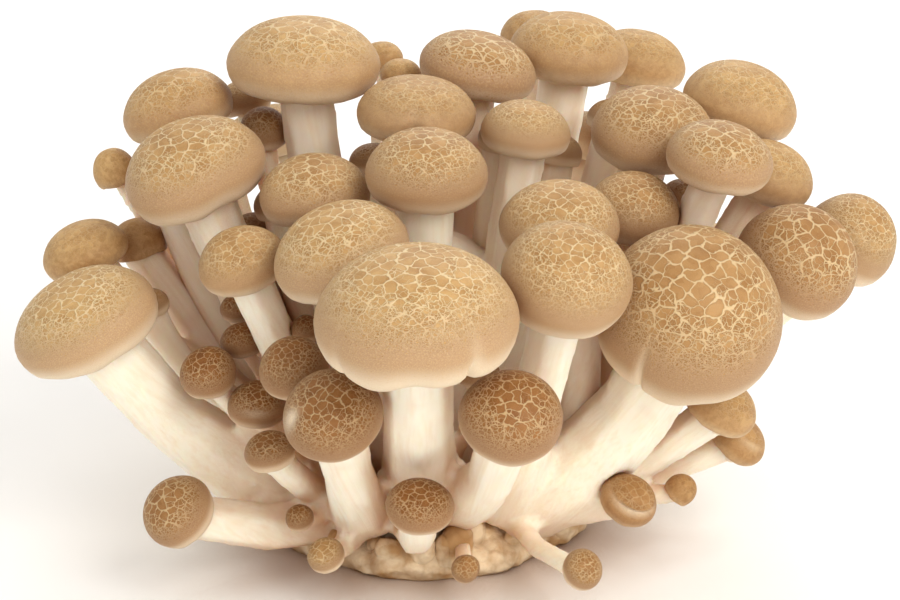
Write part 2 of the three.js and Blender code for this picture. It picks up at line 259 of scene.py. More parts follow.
# Cap skin: the dry skin of a beech mushroom, grown, never polished. Brown scales crack apart
# over the paler flesh, so the eye sees a pale raised net that fades to specks towards the margin.
# A reach is how far down the cap a point is, 0 at the top and 1 at the lip.
capSkinSet = {
    'scale': ('#d0aa72', '#b28953'),  # light and dark scales
    'net': '#e0c79a',
    'shoulder': '#d2b48a',
    'belly': '#b89571',
    'margin': '#ead8bd',
    'deep': '#b28c68',  # what a dark young cap is multiplied by
    'gills': '#f1e2c9',
    'torn': '#f3dfc0',
    'paintedShade': ('#b0754a', 0.6, 16),  # painted shade: brown multiplied in where caps and stems crowd and hide each other from the sky
    # how the net wanders, and by what share of a grain
    'wander': {'Scale': 5, 'Detail': 2},
    'wanderBy': 0.14,
    # scales in one grain: about 1.6, 0.9 and 0.45 mm across on the largest caps
    'cells': (4.9, 9.2, 18),
    'randomness': 0.9,
    'lines': (0.027, 0.04, 0.068),  # half widths of the net in cells
    # the net widens with the distance from a scale's middle
    'corner': {'From Min': 0.3, 'From Max': 1.0, 'To Min': 0, 'To Max': 0.1},
    # a line's slope starts and ends at these shares of its half width, and at a little more
    'slope': (0.5, 1.5, 0.004),
    'starts': ((0.2, 0.42), (0.4, 0.58)),  # the reach where each finer size starts and is whole
    'startSpread': 0.3,  # how much that differs from one scale to the next
    # the finest scales shrink to specks by this much of a cell
    'shrink': {'From Min': 0.5, 'From Max': 0.8, 'To Max': 0.4},
    'cloud': {'Scale': 2.4, 'Detail': 3},
    'scaleShare': 0.34,  # how much a scale's own chance says beside the clouds
    'darker': {'From Min': 0.45, 'From Max': 1.15},
    # the reach where each plain colour of the skin starts and is whole
    'bands': (('shoulder', 0.35, 0.55), ('belly', 0.5, 0.68), ('margin', 0.74, 0.9)),
    'specks': 34,  # in one grain: about 0.25 mm
    'speck': {'From Min': 0.16, 'From Max': 0.42, 'To Min': 0.6, 'To Max': 0},
    'specksStart': {'From Min': 0.45, 'From Max': 0.6},
    'specksEnd': {'From Min': 0.74, 'From Max': 0.98, 'To Min': 1, 'To Max': 0},
    # a fine noise makes the specks patchy, mottles the plain skin and roughens it
    'fine': {'Scale': 22, 'Detail': 4},
    'patchy': {'From Min': 0.35, 'From Max': 0.65},
    'mottle': {'From Min': 0.4, 'From Max': 0.7, 'To Max': 0.42},
    'fineRelief': 0.22,
    # a young cap's darkness is less at the margin, and less between its scales
    'deepFade': {'From Min': 0.7, 'From Max': 1.0, 'To Min': 1, 'To Max': 0.55},
    'deepSkin': 0.6,
    'under': {'From Min': 1.0, 'From Max': 1.06},  # where the gills begin
    'reliefFade': {'From Min': 0.5, 'From Max': 0.8, 'To Min': 1, 'To Max': 0.1},
    'bump': {'Strength': 0.7, 'Distance': 0.2 * mm},  # the net stands up by 0.2 mm
    'surface': {'Roughness': 0.5, 'IOR': 1.4, 'Specular IOR Level': 0.35,
                'Subsurface Weight': 0.2, 'Subsurface Scale': 1.5 * mm,
                'Subsurface Radius': (1.0, 0.6, 0.33)},
}


def makeCapSkin(s):
    material, tree = newMaterial('grown cap skin')
    mapRange, maths, mix = 'ShaderNodeMapRange', 'ShaderNodeMath', 'ShaderNodeMix'
    voronoi, noises = 'ShaderNodeTexVoronoi', 'ShaderNodeTexNoise'
    smooth = {'interpolation_type': 'SMOOTHSTEP'}
    flat = addNode(tree, 'ShaderNodeAttribute', output='Vector', attribute_name='capFlat')
    reach = addNode(tree, 'ShaderNodeAttribute', output='Fac', attribute_name='capReach')
    tone = addNode(tree, 'ShaderNodeAttribute', output='Fac', attribute_name='capTone')
    torn = addNode(tree, 'ShaderNodeAttribute', output='Fac', attribute_name='capTorn')
    faint = addNode(tree, 'ShaderNodeAttribute', output='Fac', attribute_name='capFaint')

    # the net wanders, so the scales are never straight-sided
    wander = addNode(tree, noises, {'Vector': flat, **s['wander']}, 'Color',
                     noise_dimensions='2D')
    centred = addNode(tree, 'ShaderNodeVectorMath', {0: wander, 1: (0.5, 0.5, 0.5)},
                      operation='SUBTRACT')
    placed = addNode(tree, 'ShaderNodeVectorMath', {0: centred, 1: (s['wanderBy'],) * 3, 2: flat},
                     operation='MULTIPLY_ADD')

    nets = []
    chances = []
    last = len(s['cells']) - 1
    slopeStart, slopeEnd, slopeMore = s['slope']
    for layer, size in enumerate(s['cells']):
        cells = {'Vector': placed, 'Scale': size, 'Randomness': s['randomness']}
        edge = addNode(tree, voronoi, cells, voronoi_dimensions='2D', feature='DISTANCE_TO_EDGE')
        middle = addNode(tree, voronoi, cells, voronoi_dimensions='2D')
        # the net widens where three scales meet, which rounds them
        away = addNode(tree, mapRange, {'Value': middle, **s['corner']})
        width = addNode(tree, maths, {0: away, 1: s['lines'][layer]}, operation='ADD')
        if layer > 0:
            # a scale splits into finer ones the nearer it is to the margin
            split = addNode(tree, maths, {0: chances[-1], 1: s['startSpread'], 2: reach},
                            operation='MULTIPLY_ADD')
            start, whole = [r + s['startSpread'] / 2 for r in s['starts'][layer - 1]]
            active = addNode(tree, mapRange, {'Value': split, 'From Min': start,
                                              'From Max': whole}, **smooth)
            width = addNode(tree, maths, {0: active, 1: width}, operation='MULTIPLY')
        if layer < last:
            chance = addNode(tree, 'ShaderNodeSeparateColor', {0: middle.node.outputs['Color']})
            chances.append(chance)
        else:
            # the finest scales shrink to specks, and the specks end before the margin
            shrink = addNode(tree, mapRange, {'Value': reach, **s['shrink']}, **smooth)
            width = addNode(tree, maths, {0: width, 1: shrink}, operation='ADD')
        inner = addNode(tree, maths, {0: width, 1: slopeStart}, operation='MULTIPLY')
        outer = addNode(tree, maths, {0: width, 1: slopeEnd, 2: slopeMore},
                        operation='MULTIPLY_ADD')
        line = addNode(tree, mapRange, {'Value': edge, 'From Min': inner, 'From Max': outer,
                                        'To Min': 1, 'To Max': 0}, **smooth)
        nets.append(line)
    coarse = addNode(tree, maths, {0: nets[0], 1: nets[1]}, operation='MAXIMUM')
    net = addNode(tree, maths, {0: coarse, 1: nets[2]}, operation='MAXIMUM')

    # the scales' colour changes from one to the next and in clouds
    cloud = addNode(tree, noises, {'Vector': flat, **s['cloud']}, noise_dimensions='2D')
    both = addNode(tree, maths, {0: chances[0], 1: chances[1]}, operation='ADD')
    shade = addNode(tree, maths, {0: both, 1: s['scaleShare'], 2: cloud},
                    operation='MULTIPLY_ADD')
    darker = addNode(tree, mapRange, {'Value': shade, **s['darker']})
    scales = addNode(tree, mix, {0: darker, 6: linear(s['scale'][0]), 7: linear(s['scale'][1])},
                     2, data_type='RGBA')

    # pale flesh shows between them, and plain skin lower down
    skin = linear(s['net'])
    for name, start, whole in s['bands']:
        share = addNode(tree, mapRange, {'Value': reach, 'From Min': start, 'From Max': whole},
                        **smooth)
        skin = addNode(tree, mix, {0: share, 6: skin, 7: linear(s[name])}, 2, data_type='RGBA')

    # specks and faint mottles below the net
    dots = addNode(tree, voronoi, {'Vector': flat, 'Scale': s['specks']},
                   voronoi_dimensions='2D')
    dot = addNode(tree, mapRange, {'Value': dots, **s['speck']}, **smooth)
    fine = addNode(tree, noises, {'Vector': flat, **s['fine']}, noise_dimensions='2D')
    begin = addNode(tree, mapRange, {'Value': reach, **s['specksStart']}, **smooth)
    end = addNode(tree, mapRange, {'Value': reach, **s['specksEnd']}, **smooth)
    band = addNode(tree, maths, {0: begin, 1: end}, operation='MULTIPLY')
    patchy = addNode(tree, mapRange, {'Value': fine, **s['patchy']}, **smooth)
    mottle = addNode(tree, mapRange, {'Value': fine, **s['mottle']})
    skin = addNode(tree, mix, {0: mottle, 6: skin, 7: linear(s['net'])}, 2, data_type='RGBA')
    dotted = addNode(tree, maths, {0: dot, 1: band}, operation='MULTIPLY')
    dotted = addNode(tree, maths, {0: dotted, 1: patchy}, operation='MULTIPLY')
    skin = addNode(tree, mix, {0: dotted, 6: skin, 7: linear(s['scale'][1])}, 2, data_type='RGBA')

    # young caps are darker all over, their scales most and their margin least
    fade = addNode(tree, mapRange, {'Value': reach, **s['deepFade']}, **smooth)
    depth = addNode(tree, maths, {0: tone, 1: fade}, operation='MULTIPLY')
    part = addNode(tree, maths, {0: depth, 1: s['deepSkin']}, operation='MULTIPLY')
    deep = linear(s['deep'])
    scales = addNode(tree, mix, {0: depth, 6: scales, 7: deep}, 2, data_type='RGBA',
                     blend_type='MULTIPLY')
    skin = addNode(tree, mix, {0: part, 6: skin, 7: deep}, 2, data_type='RGBA',
                   blend_type='MULTIPLY')
    plainer = addNode(tree, mapRange, {'Value': faint, 'To Min': 1, 'To Max': 0})
    shown = addNode(tree, maths, {0: net, 1: plainer}, operation='MULTIPLY')
    colour = addNode(tree, mix, {0: shown, 6: scales, 7: skin}, 2, data_type='RGBA')
    # bare flesh shows where the skin is torn
    toned = addNode(tree, mix, {0: torn, 6: colour, 7: linear(s['torn'])}, 2, data_type='RGBA')
    under = addNode(tree, mapRange, {'Value': reach, **s['under']}, **smooth)
    plain = addNode(tree, mix, {0: under, 6: toned, 7: linear(s['gills'])}, 2, data_type='RGBA')
    # painted shade: the cap's colour darkens towards brown where neighbours hide it from the sky
    final = addPaintedShade(tree, plain, s['paintedShade'])

    fading = addNode(tree, mapRange, {'Value': reach, **s['reliefFade']}, **smooth)
    relief = addNode(tree, maths, {0: shown, 1: fading}, operation='MULTIPLY')
    grain = addNode(tree, maths, {0: fine, 1: s['fineRelief'], 2: relief},
                    operation='MULTIPLY_ADD')
    bump = addNode(tree, 'ShaderNodeBump', {'Height': grain, **s['bump']})
    shader = addNode(tree, 'ShaderNodeBsdfPrincipled', {
        'Base Color': final, 'Normal': bump, **s['surface']})
    addNode(tree, 'ShaderNodeOutputMaterial', {'Surface': shader})
    return material


# Stem flesh: mushroom flesh with a silky, dry fibrous skin. Light goes some way in, so it looks
# creamy white and its shaded sides stay warm, and painted shade turns its hidden parts warm brown.
stemFleshSet = {
    'flesh': '#fcf2df',
    'streak': '#f1ddbf',
    'stain': '#cfa878',
    # painted shade: warm brown multiplied in where stems hide each other from the sky
    'paintedShade': ('#cb9159', 0.85, 16),
    'fibre': 0.5,  # mm between fibres, drawn coarser than the real 0.1 mm so that they show
    'fanFrom': 22,  # mm under the floor, where the lines of all fibres meet
    'fanReach': 50,  # mm from there to where the fibres are that far apart
    'fibreDetail': 3,
    'blotches': {'Scale': 110, 'Detail': 3},  # about 9 mm across
    'streaked': {'From Min': 0.45, 'From Max': 0.75, 'To Max': 0.5},
    'stained': {'From Min': 0.58, 'From Max': 0.8, 'To Max': 0.3},
    'bump': {'Strength': 0.35, 'Distance': 0.12 * mm},
    'surface': {'Roughness': 0.5, 'IOR': 1.4, 'Specular IOR Level': 0.3,
                'Subsurface Weight': 0.45, 'Subsurface Scale': 2.4 * mm,
                'Subsurface Radius': (1.0, 0.55, 0.3)},
}


def makeStemFlesh(s):
    material, tree = newMaterial('silky stem flesh')
    place = addNode(tree, 'ShaderNodeTexCoord', output='Object')
    # the stems fan out from the foot, so fibres run along lines from a point under it
    fromFoot = addNode(tree, 'ShaderNodeVectorMath', {0: place, 1: (0, 0, s['fanFrom'] * mm)},
                       operation='ADD')
    ray = addNode(tree, 'ShaderNodeVectorMath', {0: fromFoot}, operation='NORMALIZE')
    streaks = addNode(tree, 'ShaderNodeTexNoise', {
        'Vector': ray, 'Scale': s['fanReach'] / s['fibre'], 'Detail': s['fibreDetail']})
    blotches = addNode(tree, 'ShaderNodeTexNoise', {'Vector': place, **s['blotches']})
    streaked = addNode(tree, 'ShaderNodeMapRange', {'Value': streaks, **s['streaked']})
    stained = addNode(tree, 'ShaderNodeMapRange', {'Value': blotches, **s['stained']})
    first = addNode(tree, 'ShaderNodeMix', {0: streaked, 6: linear(s['flesh']),
                                            7: linear(s['streak'])}, 2, data_type='RGBA')
    second = addNode(tree, 'ShaderNodeMix', {0: stained, 6: first, 7: linear(s['stain'])}, 2,
                     data_type='RGBA')
    # painted shade: the flesh colour darkens towards warm brown where neighbours hide it from the
    # sky
    final = addPaintedShade(tree, second, s['paintedShade'])
    bump = addNode(tree, 'ShaderNodeBump', {'Height': streaks, **s['bump']})
    shader = addNode(tree, 'ShaderNodeBsdfPrincipled', {
        'Base Color': final, 'Normal': bump, **s['surface']})
    addNode(tree, 'ShaderNodeOutputMaterial', {'Surface': shader})
    return material


# Foot: felted mycelium with crumbs of the sawdust it grew on, torn from its block and cut flat
# below. It looks matt, crumbly and mottled tan.
footFeltSet = {
    'felt': '#e8d3b2',
    'sawdust': '#bd9668',
    'pit': '#94693f',
    'crumb': 2.6,  # mm across a crumb
    'clouds': {'Scale': 240, 'Detail': 5},  # about 4 mm
    'grit': {'Scale': 1400, 'Detail': 3},  # about 0.7 mm
    'gritShare': 0.5,  # of the crumbs' relief
    'felted': {'From Min': 0.4, 'From Max': 0.6},
    'pitted': {'From Min': 0.4, 'From Max': 0.8, 'To Max': 0.55},
    'bump': {'Strength': 0.8, 'Distance': 0.5 * mm},
    'surface': {'Roughness': 0.85, 'IOR': 1.4, 'Specular IOR Level': 0.15,
                'Subsurface Weight': 0.1, 'Subsurface Scale': 1.0 * mm,
                'Subsurface Radius': (1.0, 0.6, 0.35)},
}


def makeFootFelt(s):
    material, tree = newMaterial('felted mycelium')
    place = addNode(tree, 'ShaderNodeTexCoord', output='Object')
    crumbs = addNode(tree, 'ShaderNodeTexVoronoi', {'Vector': place,
                                                    'Scale': 1 / (s['crumb'] * mm)})
    clouds = addNode(tree, 'ShaderNodeTexNoise', {'Vector': place, **s['clouds']})
    grit = addNode(tree, 'ShaderNodeTexNoise', {'Vector': place, **s['grit']})
    felted = addNode(tree, 'ShaderNodeMapRange', {'Value': clouds, **s['felted']})
    pitted = addNode(tree, 'ShaderNodeMapRange', {'Value': crumbs, **s['pitted']})
    first = addNode(tree, 'ShaderNodeMix', {0: felted, 6: linear(s['sawdust']),
                                            7: linear(s['felt'])}, 2, data_type='RGBA')
    second = addNode(tree, 'ShaderNodeMix', {0: pitted, 6: first, 7: linear(s['pit'])}, 2,
                     data_type='RGBA')
    rough = addNode(tree, 'ShaderNodeMath', {0: grit, 1: -s['gritShare'], 2: crumbs},
                    operation='MULTIPLY_ADD')
    bump = addNode(tree, 'ShaderNodeBump', {'Height': rough, **s['bump']}, invert=True)
    shader = addNode(tree, 'ShaderNodeBsdfPrincipled', {
        'Base Color': second, 'Normal': bump, **s['surface']})
    addNode(tree, 'ShaderNodeOutputMaterial', {'Surface': shader})
    return material


capSkin = makeCapSkin(capSkinSet)
stemFlesh = makeStemFlesh(stemFleshSet)
footFelt = makeFootFelt(footFeltSet)
print("materials made")


# Caps
capSet = {
    'large': {'sides': 160, 'gillSides': 4},  # four sides make one gill
    'small': {'sides': 84, 'gillSides': 3},
    'smallBelow': 5.2,  # half width in mm
    'pattern': (10, 8, 4),  # a pattern cap's half width, rise and socket's half width
    'smoothAngle': 55,  # degrees
    # the outline, radii as shares of the half width and heights as shares of the rise
    'lip': (0.76, 0.92),  # its usual radius and its most
    'wall': 0.5,  # mm of room round the stem in the socket, and of flesh round the socket
    'stemLeast': 0.4,  # the stem's least share of the socket
    'socketDepth': 0.5,
    'collar': 2.4,  # mm that the top of the stem reaches down from the cap
    'collarMost': 0.5,
    # the collar's points: share of the stem's radius, mm more, and share of the way down
    'neck': ((0.84, 0, 1), (0.97, 0, 0.55), (1, 0.06, 0.2)),
    'gillShares': (0.5, 1, 1, 1, 1, 0.6),  # how deep the grooves are from the stem to the lip
    'gillDepth': (1.1, 0.2),  # mm at most, and share of the rise at most
    'gillStart': (0.5, 0.3, 0.1),  # mm outside the stem, least mm of gills, least mm outside
    'gillEnd': (0.9, 0.4),  # share of the lip's radius, and least mm inside it
    'gillFall': (0.52, 0.38, 1.6),  # height at the stem, fall to the lip and the power it follows
    'roll': (0.45, 0.985, 0.995),  # share of the way to the lip and its depth, and the lip's depth
    'flank': (0.93, 0.05, 0.78),  # radius, least step out from the lip, and depth
    'dome': ((1, -0.3), (0.93, 0.14), (0.72, 0.6), (0.4, 0.9), (0, 1)),
    'outerRings': 22,
    'stepsBetween': 12,  # points between two keys, before they are spread evenly
    # how a CAD cap is read: height of its widest ring, how near it a point is, and least points
    'widest': -0.3,
    'nearWidest': 0.04,
    'leastPoints': 6,
}


def smoothLine(keys, count):
    # a Catmull-Rom line through the keys, its points spread evenly along it
    padded = [2 * Vector(keys[0]) - Vector(keys[1])] + [Vector(k) for k in keys]
    padded.append(2 * Vector(keys[-1]) - Vector(keys[-2]))
    dense = []
    for i in range(1, len(padded) - 2):
        p0, p1, p2, p3 = padded[i - 1:i + 3]
        for step in range(capSet['stepsBetween']):
            t = step / capSet['stepsBetween']
            dense.append(0.5 * ((2 * p1) + (p2 - p0) * t + (2 * p0 - 5 * p1 + 4 * p2 - p3) * t * t
                                + (3 * p1 - p0 - 3 * p2 + p3) * t ** 3))
    dense.append(padded[-2])
    dense = np.array([tuple(p) for p in dense])
    along = np.concatenate(([0], np.cumsum(np.linalg.norm(np.diff(dense, axis=0), axis=1))))
    wanted = np.linspace(0, along[-1], count)
    return np.stack([np.interp(wanted, along, dense[:, k]) for k in (0, 1)], axis=1)


def capProfile(half, rise, socket):
    # (radius, height) from the collar's foot, along the gills, round the rolled margin and up to
    # the top, the gill share of each point, and the first point outside the gills
    s = capSet
    usual, most = s['lip']
    lip = min(max(usual * half, socket + s['wall']), most * half)
    stem = max(socket - s['wall'], s['stemLeast'] * socket)
    collar = min(s['collar'], s['collarMost'] * half)
    endShare, endInside = s['gillEnd']
    inner = min(endShare * lip, lip - endInside)
    startOutside, leastGills, leastOutside = s['gillStart']
    gillTop = max(min(stem + startOutside, inner - leastGills), stem + leastOutside)
    neck = [(share * stem + more, -s['socketDepth'] * rise - down * collar)
            for share, more, down in s['neck']]
    gillHeight, gillFall, gillPower = s['gillFall']
    rings = len(s['gillShares'])
    gills = []
    for i in range(rings):
        t = i / (rings - 1)
        radius = gillTop + t * (inner - gillTop)
        gills.append((radius, -rise * (gillHeight + gillFall * t ** gillPower)))
    rollShare, rollDepth, lipDepth = s['roll']
    flankRadius, flankStep, flankDepth = s['flank']
    keys = [(inner + rollShare * (lip - inner), -rollDepth * rise), (lip, -lipDepth * rise),
            (max(flankRadius * half, lip + flankStep * half), -flankDepth * rise)]
    keys += [(radius * half, height * rise) for radius, height in s['dome']]
    outer = smoothLine(keys, s['outerRings'])
    line = np.array(neck + gills + [tuple(p) for p in outer])
    outerFrom = len(neck) + rings
    gillShare = np.zeros(len(line))
    gillShare[len(neck):outerFrom] = s['gillShares']
    return line, gillShare, outerFrom


def extrudeRings(name, sides, line):
    # a circle extruded ring by ring up an outline, closed at the top and the bottom
    deselectAll()
    bpy.ops.mesh.primitive_circle_add(vertices=sides, radius=line[0][0], fill_type='NOTHING',
                                      location=(0, 0, 0))
    piece = bpy.context.object
    piece.name = name
    bpy.ops.object.mode_set(mode='EDIT')
    bpy.ops.mesh.select_all(action='SELECT')
    bpy.ops.transform.translate(value=(0, 0, line[0][1]))
    for (r0, z0), (r1, z1) in zip(line[:-2], line[1:-1]):
        bpy.ops.mesh.extrude_region_move(TRANSFORM_OT_translate={'value': (0, 0, z1 - z0)})
        bpy.ops.transform.resize(value=(r1 / r0, r1 / r0, 1), center_override=(0, 0, z1))
    bpy.ops.mesh.extrude_region_move(
        TRANSFORM_OT_translate={'value': (0, 0, line[-1][1] - line[-2][1])})
    bpy.ops.mesh.merge(type='CENTER')
    # the first ring is closed with one face
    shape = bmesh.from_edit_mesh(piece.data)
    for v in shape.verts:
        v.select_set(v.is_boundary)
    shape.select_flush(True)
    bmesh.update_edit_mesh(piece.data)
    bpy.ops.mesh.edge_face_add()
    bpy.ops.mesh.select_all(action='SELECT')
    bpy.ops.mesh.normals_make_consistent(inside=False)
    bpy.ops.object.mode_set(mode='OBJECT')
    return piece


def modelCap(kind):
    # the pattern cap: its collar is hidden in the stem
    s = capSet[kind]
    line = capProfile(*capSet['pattern'])[0]
    cap = extrudeRings('patternCap' + kind, s['sides'], line)
    # each point keeps which ring and which side it is on
    points = readPoints(cap.data)
    radius = np.hypot(points[:, 0], points[:, 1])
    away = (np.abs(radius[:, None] - line[None, :, 0])
            + np.abs(points[:, 2][:, None] - line[None, :, 1]))
    ring = away.argmin(axis=1)
    turns = np.arctan2(points[:, 1], points[:, 0]) / (2 * math.pi)
    side = np.round(turns * s['sides']).astype(int)
    blade = (side % s['gillSides']) * 2 >= s['gillSides'] - 1
    writeAttribute(cap.data, 'capRing', 'FLOAT', ring)
    writeAttribute(cap.data, 'capSide', 'FLOAT', side)
    writeAttribute(cap.data, 'capBlade', 'FLOAT', blade)
    return cap


def readCap(node):
    # a cap node's place and size, from the two fan centres of its mesh: the top and the socket
    s = capSet
    shape = bmesh.new()
    shape.from_mesh(node.data)
    bmesh.ops.remove_doubles(shape, verts=shape.verts, dist=meshSlack)
    fans = sorted(shape.verts, key=lambda v: -len(v.link_edges))[:2]

    def lift(v):
        around = [e.other_vert(v).co for e in v.link_edges]
        return (sum(around, Vector()) / len(around) - v.co).length

    socket, top = sorted(fans, key=lift)
    around = [e.other_vert(socket).co for e in socket.link_edges]
    socketHalf = sum((p - socket.co).length for p in around) / len(around)
    axis = (top.co - socket.co).normalized()
    rise = (top.co - socket.co).length / (1 + s['socketDepth'])
    centre = top.co - axis * rise
    east = axis.orthogonal().normalized()
    north = axis.cross(east)
    rows = []
    for v in shape.verts:
        p = v.co - centre
        if abs(p.dot(axis) - s['widest'] * rise) < s['nearWidest'] * rise:
            rows.append((p.dot(east), p.dot(north)))
    rows = np.array(rows)
    shape.free()
    angle = np.arctan2(rows[:, 1], rows[:, 0])
    radius = np.hypot(rows[:, 0], rows[:, 1])
    half = float(radius.mean())
    terms = np.stack([np.cos(2 * angle), np.sin(2 * angle),
                      np.cos(3 * angle), np.sin(3 * angle)], 1)
    swell = np.zeros(4)
    if len(rows) > s['leastPoints']:
        swell = np.linalg.lstsq(terms, radius / half - 1, rcond=None)[0]
    turn = Matrix((east, north, axis)).transposed()
    return {'centre': centre.copy(), 'turn': turn, 'half': half / mm, 'rise': rise / mm,
            'socket': socketHalf / mm, 'swell': swell}


# Marks on single caps: a heading in degrees with 0 to the right and -90 to the front, half the
# mark's width in degrees, how far down it lies with 1 at the lip, half its width that way, how
# far it moves the skin out and up in mm, and how much bare flesh shows
capMarks = {
    'cap_front_1': [(-52, 5, 1.0, 0.26, -1.1, 0.9, 0.5), (-118, 15, 1.0, 0.3, 0.1, -0.7, 0),
                    (-88, 12, 1.0, 0.3, -0.2, 0.5, 0), (-140, 4, 1.0, 0.2, -0.5, 0.4, 0.3)],
    'cap_front_2': [(-121, 2.6, 0.86, 0.2, -0.7, 0.2, 0.9), (-100, 14, 1.0, 0.3, 0.2, -0.5, 0)],
    'cap_front_6': [(-158, 12, 0.5, 0.13, -0.35, 0, 0.9), (-60, 14, 0.2, 0.2, 0.2, 0.2, 0)],
    'cap_front_8': [(-66, 10, 1.0, 0.35, -0.7, 0.6, 0.3)],
    'cap_crown_3': [(-92, 20, 1.0, 0.35, -0.5, 1.3, 0.15), (-92, 7, 0.75, 0.3, -0.6, 0, 0.1)],
    'cap_crown_2': [(-105, 14, 1.0, 0.3, -0.3, 0.6, 0)],
    'cap_left_2': [(-60, 22, 1.0, 0.4, 0.2, 0.8, 0), (-130, 14, 1.0, 0.3, 0, -0.5, 0)],
    'cap_right_9': [(-84, 58, 0.55, 0.05, -0.8, 0, 0.8)],
    'cap_right_7': [(-70, 34, 0.5, 0.06, -0.4, 0, 0.3)],
    'cap_right_4': [(-95, 16, 1.0, 0.3, -0.3, 0.4, 0)],
    'cap_low_6': [(-90, 24, 0.6, 0.06, -0.3, 0, 0.3)],
}

# How dark each cap is: 0 for the palest full-grown one, 1 for the darkest young one
capTones = {
    'cap_front': (0.18, 0.46, 0.3, 0.2, 0.34, 0.88, 0.85, 0.9, 0.3, 0.5, 0.7),
    'cap_crown': (0.4, 0.38, 0.3, 0.12, 0.45, 0.3, 0.2, 0.22, 0.12, 0.05, 0.1, 0.46),
    'cap_left': (0.06, 0.28, 0.24, 0.12, 0.36, 0.05, 0.3, 0.7),
    'cap_right': (0.42, 0.12, 0.18, 0.56, 0.3, 0.25, 0.4, 0.4, 0.6),
    'cap_low': (0.92, 0.9, 0.95, 1.1, 1.05, 1.0, 1.0, 0.72, 0.65, 0.7, 0.4, 0.9),
    'cap_back': (0.35, 0.3, 0.4, 0.35, 0.3, 0.6),
    'crowd': (0.6,) * 12,
}

# Caps with larger scales than most, and how much larger
coarseNets = {
    'cap_crown_5': 1.45, 'cap_crown_12': 1.35, 'cap_crown_4': 1.4, 'cap_crown_7': 1.3,
    'cap_left_2': 1.3, 'cap_left_3': 1.3, 'cap_front_2': 1.15, 'cap_right_4': 1.2,
    'cap_crown_1': 1.15, 'cap_right_1': 1.2, 'cap_front_1': 0.92,
}

# Caps whose net hardly shows, and how faint it is
faintNets = {
    'cap_left_4': 0.75, 'cap_left_5': 0.85, 'cap_left_6': 0.8, 'cap_left_3': 0.35,
    'cap_crown_4': 0.25, 'cap_crown_7': 0.4, 'cap_crown_8': 0.6, 'cap_crown_9': 0.6,
    'cap_crown_10': 0.7, 'cap_crown_11': 0.7, 'cap_crown_3': 0.35, 'cap_right_2': 0.5,
    'cap_right_6': 0.6, 'cap_right_7': 0.75, 'cap_right_8': 0.8, 'cap_right_9': 0.6,
    'cap_right_3': 0.4, 'cap_front_5': 0.2,
}

# How the skin's pattern lies on a cap, and how unevenly a cap grows
growthSet = {
    'grain': 2.6,  # mm of pattern on a cap of 1 mm half width
    'grainPower': 0.45,  # a grain grows less than the cap does
    'grainSpread': (0.14, 2.4),  # how much it differs between caps, and the step from cap to cap
    'tighten': 0.12,  # how much the pattern tightens towards the margin
    # how far the pattern shifts from cap to cap in grains, and where that starts again
    'shifts': ((3.7, 11), (5.3, 13)),
    'waveFrom': 0.35,  # the reach where the margin's waves begin
    'wavePower': 1.5,
    # share of the radius or the rise, the noise's radius, its step from cap to cap and its start
    'waveOut': (0.035, 1.3, 2.3, 0),
    'waveUp': (0.07, 2.1, 4.1, 9),
}


def toneOf(name):
    zone, number = name.rsplit('_', 1)
    return capTones[zone][int(number) - 1]


def waveRound(wave, seed, degrees):
    # a noise read round a circle, so that it closes
    share, away, step, start = wave
    circle = np.arange(361)
    levels = [noise.noise(Vector((away * math.cos(a), away * math.sin(a), seed * step + start)))
              for a in np.linspace(0, 2 * math.pi, len(circle))]
    return share * np.interp(degrees, circle, levels)


